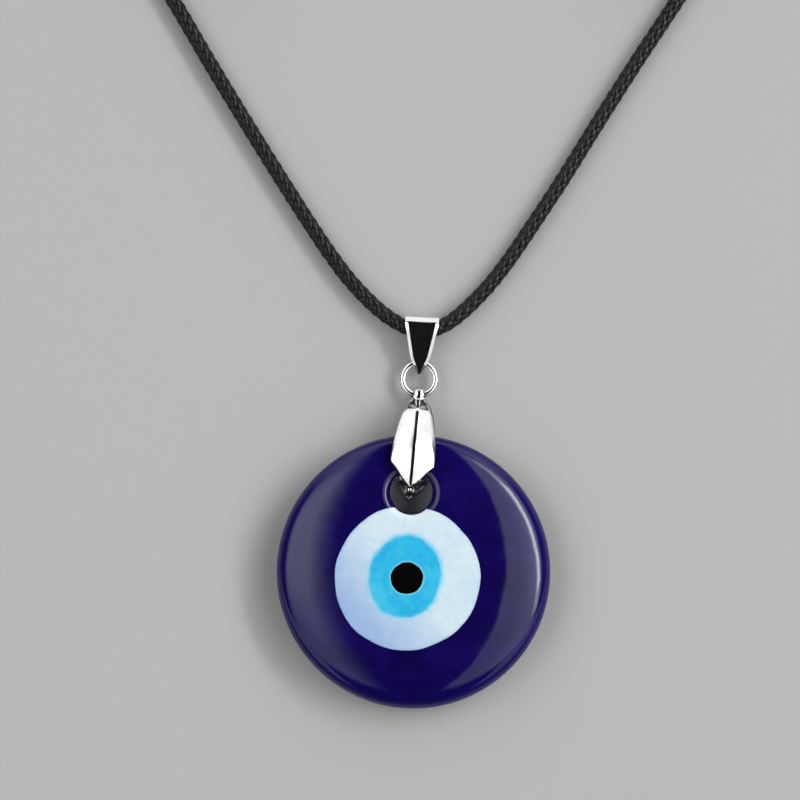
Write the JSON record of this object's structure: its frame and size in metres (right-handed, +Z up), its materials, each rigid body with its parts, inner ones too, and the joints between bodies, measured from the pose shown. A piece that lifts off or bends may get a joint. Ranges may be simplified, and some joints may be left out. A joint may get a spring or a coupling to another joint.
{
  "type": "glass eye pendant necklace",
  "caption": "Round domed cobalt glass eye amulet on a silver pinch clip, jump ring and bail, strung on a black braided cord with a clasp and extender chain.",
  "frame": {"origin": "centre of the glass disc's flat back, on the surface that the necklace lies on", "axes": "+Z up off the glass front, +Y from the disc through the clip and bail towards the cord, +X to the right seen from the front"},
  "size_m": [0.0723, 0.1092, 0.0065],
  "materials": {
    "blue_glass": "polished",
    "white_glass": "polished",
    "pale_blue_glass": "polished",
    "black_glass": "polished",
    "silver_plate": "polished silver plate",
    "spring_steel": "bright",
    "waxed_cord": "waxed round braid"
  },
  "bodies": {
    "necklace": {"cord_run": "waxed_cord", "cord_coil_left": "waxed_cord", "cord_coil_right": "waxed_cord", "cord_tail_left": "waxed_cord", "cord_tail_right": "waxed_cord", "end_cap_left": "silver_plate", "end_cap_right": "silver_plate", "clasp_ring": "silver_plate", "chain_ring": "silver_plate"},
    "bail": {"bail": "silver_plate"},
    "ring": {"jump_ring": "silver_plate"},
    "clip": {"pinch_clip": "silver_plate", "front_peg": "silver_plate", "rear_peg": "silver_plate"},
    "disc": {"glass_disc": "blue_glass", "eye_white": "white_glass", "eye_iris": "pale_blue_glass", "eye_pupil": "black_glass"},
    "clasp": {"clasp_body": "silver_plate", "clasp_rivet": "spring_steel", "clasp_spring": "spring_steel"},
    "lever": {"clasp_lever": "silver_plate"},
    "chain": {"extender_chain": "silver_plate", "end_drop": "silver_plate"}
  },
  "joints": [
    {"name": "bail_swing", "type": "hinge", "parent": "necklace", "child": "bail", "pos_m": [0.0009, 0.02662, 0.0015], "axis": [0.9986, -0.0523, 0], "range_deg": [-90, 90]},
    {"name": "ring_swing", "type": "hinge", "parent": "bail", "child": "ring", "pos_m": [0.00071, 0.02294, 0.0012], "axis": [0.9986, -0.0523, 0], "range_deg": [-45, 45]},
    {"name": "clip_swing", "type": "hinge", "parent": "ring", "child": "clip", "pos_m": [0.00062, 0.01936, 0.0012], "axis": [0.9951, -0.0993, 0], "range_deg": [-40, 40]},
    {"name": "disc_swing", "type": "hinge", "parent": "clip", "child": "disc", "pos_m": [-0.00025, 0.00876, 0.0028], "axis": [0, 0, 1], "range_deg": [-28, 28]},
    {"name": "clasp_swing", "type": "hinge", "parent": "necklace", "child": "clasp", "pos_m": [-0.00115, 0.0875, 0.0015], "axis": [0, 0, 1], "range_deg": [-75, 3]},
    {"name": "lever_open", "type": "hinge", "parent": "clasp", "child": "lever", "pos_m": [0.00245, 0.08785, 0.0015], "axis": [0, 0, 1], "range_deg": [-22, 0], "stiffness_Nm_per_rad": 0.004, "springref_deg": 20.05},
    {"name": "chain_swing", "type": "hinge", "parent": "necklace", "child": "chain", "pos_m": [-0.00005, 0.0929, 0.00137], "axis": [0, 0, 1], "range_deg": [-20, 3]}
  ]
}
